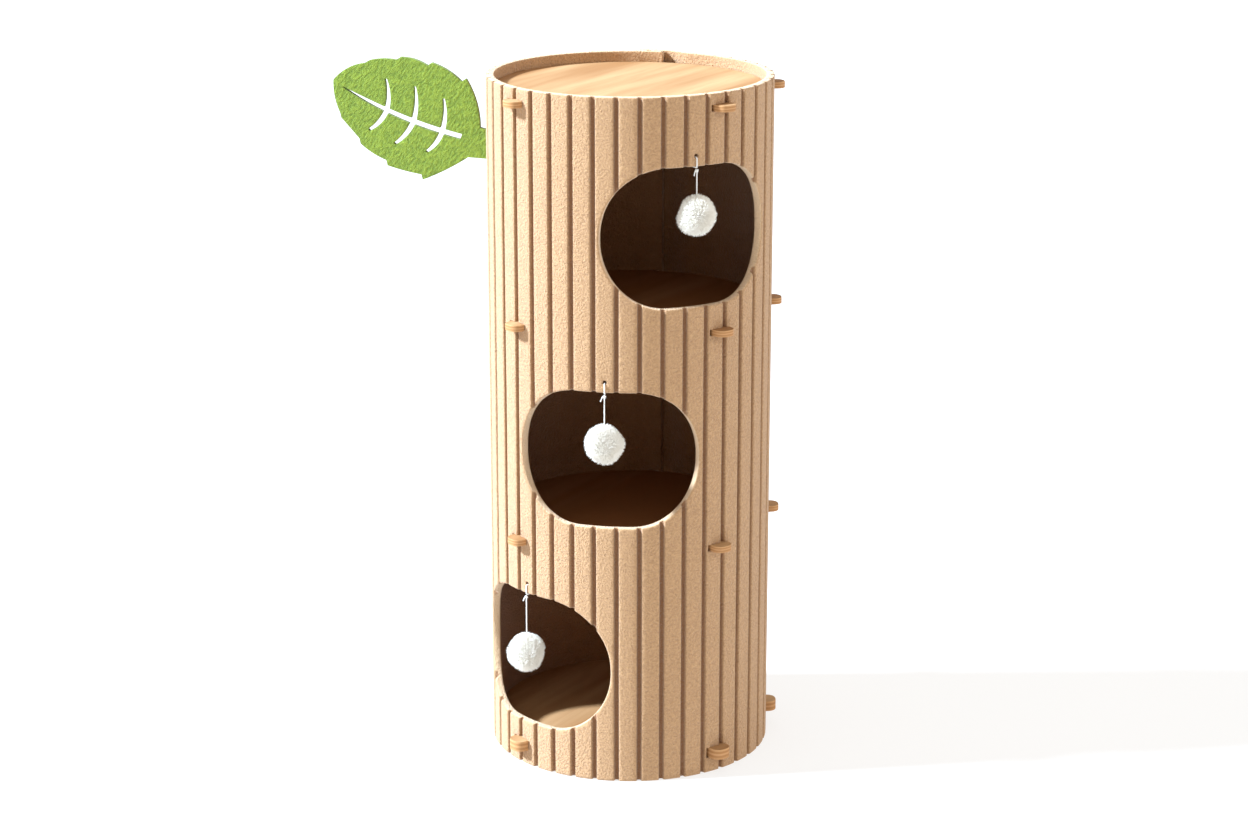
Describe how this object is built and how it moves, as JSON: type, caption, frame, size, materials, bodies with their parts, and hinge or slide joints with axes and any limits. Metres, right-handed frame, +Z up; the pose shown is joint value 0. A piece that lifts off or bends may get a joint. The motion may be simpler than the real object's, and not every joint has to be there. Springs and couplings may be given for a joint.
{
  "type": "cat tree",
  "caption": "Upright hollow felt trunk for cats, rolled from a grooved sheet and locked on plywood decks, with staggered doors, hanging pompoms and a felt leaf.",
  "frame": {"origin": "on the trunk's axis, at the floor, in the plane of the trunk's bottom rim", "axes": "+Z up along the trunk's axis; the middle door faces -Y; the leaf points along -X"},
  "size_m": [0.632, 0.4583, 0.9851],
  "materials": {
    "trunk_felt": "thick needled felt, matt, fine fuzz",
    "plywood": "birch plywood, clear satin face, bare layered edges",
    "leaf_felt": "stiff felt, matt, mottled fibres",
    "toy_cord": "twisted cotton cord, matt",
    "pompom_yarn": "fluffy cut yarn, matt"
  },
  "bodies": {
    "trunk": {"trunk_wall": "trunk_felt", "base_disc": "plywood", "lower_shelf": "plywood", "upper_shelf": "plywood", "top_platform": "plywood", "bottom_loop": "toy_cord", "middle_loop": "toy_cord", "top_loop": "toy_cord"},
    "leaf": {"leaf": "leaf_felt"},
    "bottom_knot": {"bottom_knot": "toy_cord"},
    "bottom_toy": {"bottom_string": "toy_cord", "bottom_pompom": "pompom_yarn"},
    "middle_knot": {"middle_knot": "toy_cord"},
    "middle_toy": {"middle_string": "toy_cord", "middle_pompom": "pompom_yarn"},
    "top_knot": {"top_knot": "toy_cord"},
    "top_toy": {"top_string": "toy_cord", "top_pompom": "pompom_yarn"}
  },
  "joints": [
    {"name": "leaf_pull", "type": "slide", "parent": "trunk", "child": "leaf", "axis": [-1, 0, 0], "range_m": [0, 0.03]},
    {"name": "bottom_sway", "type": "hinge", "parent": "trunk", "child": "bottom_knot", "pos_m": [-0.11889, -0.16244, 0.2534], "axis": [-0.5906, -0.807, 0], "range_deg": [-60, 60]},
    {"name": "bottom_swing", "type": "hinge", "parent": "bottom_knot", "child": "bottom_toy", "pos_m": [-0.11889, -0.16244, 0.2534], "axis": [-0.807, 0.5906, 0], "range_deg": [-75, 85]},
    {"name": "middle_sway", "type": "hinge", "parent": "trunk", "child": "middle_knot", "pos_m": [0, -0.2013, 0.562], "axis": [0, -1, 0], "range_deg": [-60, 60]},
    {"name": "middle_swing", "type": "hinge", "parent": "middle_knot", "child": "middle_toy", "pos_m": [0, -0.2013, 0.562], "axis": [-1, 0, 0], "range_deg": [-75, 85]},
    {"name": "top_sway", "type": "hinge", "parent": "trunk", "child": "top_knot", "pos_m": [0.11889, -0.16244, 0.8706], "axis": [0.5906, -0.807, 0], "range_deg": [-60, 60]},
    {"name": "top_swing", "type": "hinge", "parent": "top_knot", "child": "top_toy", "pos_m": [0.11889, -0.16244, 0.8706], "axis": [-0.807, -0.5906, 0], "range_deg": [-75, 85]}
  ]
}
